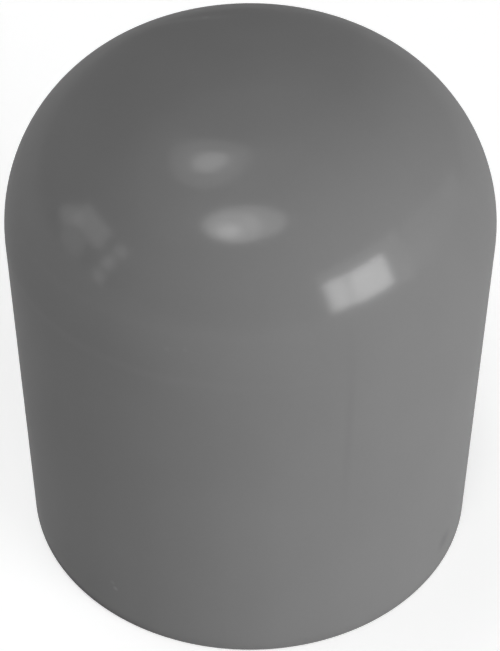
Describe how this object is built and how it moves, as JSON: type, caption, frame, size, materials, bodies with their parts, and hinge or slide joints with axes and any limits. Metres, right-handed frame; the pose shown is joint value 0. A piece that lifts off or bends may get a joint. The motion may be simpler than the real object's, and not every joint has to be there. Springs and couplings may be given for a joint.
{
  "type": "tube end cap",
  "caption": "Push-on end cap for round tube, moulded in one piece of soft grey vinyl, with a plain round wall, a rounded shoulder and a shallow domed end.",
  "frame": {"origin": "centre of the open rim's plane, on which the cap stands", "axes": "+Z along the cap's axis, from the open rim to the domed end; the cap is round, so X and Y are free"},
  "size_m": [0.0286, 0.0286, 0.033],
  "materials": {
    "grey_vinyl": "glossy mid grey flexible PVC, smooth as dipped"
  },
  "bodies": {
    "root": {"end_cap": "grey_vinyl"}
  },
  "joints": []
}
